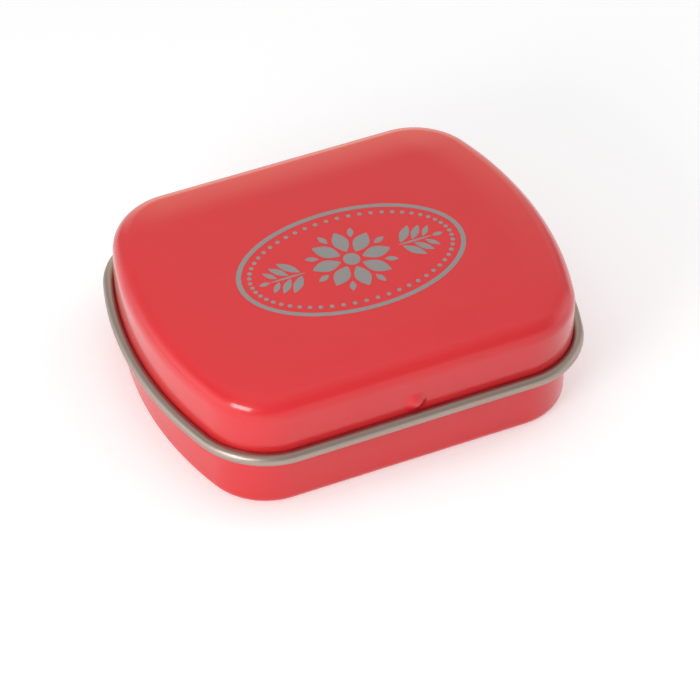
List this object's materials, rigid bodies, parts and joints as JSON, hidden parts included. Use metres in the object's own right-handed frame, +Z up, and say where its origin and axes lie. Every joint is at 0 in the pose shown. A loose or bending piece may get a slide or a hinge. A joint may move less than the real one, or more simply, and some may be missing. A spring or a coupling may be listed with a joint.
{
  "type": "hinged mint tin",
  "caption": "Small hinged tinplate box with rounded corners and bowed ends; the lid's rolled edge is its hinge pin, and it holds loose mints.",
  "frame": {"origin": "middle of the footprint, on the surface that the tin stands on", "axes": "+X along the hinge and the long side, +Y from the front to the hinge, +Z up out of the lid"},
  "size_m": [0.05, 0.0403, 0.0154],
  "materials": {
    "base_paint": "glossy enamel",
    "lid_paint": "glossy enamel, bare tinplate on the rolled edge",
    "mint": "matt pressed sugar"
  },
  "bodies": {
    "base": {"base": "base_paint", "mint_01": "mint", "mint_02": "mint", "mint_03": "mint", "mint_04": "mint", "mint_05": "mint", "mint_06": "mint", "mint_07": "mint", "mint_08": "mint", "mint_09": "mint", "mint_10": "mint", "mint_11": "mint", "mint_12": "mint", "mint_13": "mint", "mint_14": "mint", "mint_15": "mint", "mint_16": "mint", "mint_17": "mint", "mint_18": "mint"},
    "lid": {"lid": "lid_paint"}
  },
  "joints": [
    {"name": "lid_hinge", "type": "hinge", "parent": "base", "child": "lid", "pos_m": [0, 0.01929, 0.00794], "axis": [-1, 0, 0], "range_deg": [0, 110]}
  ]
}
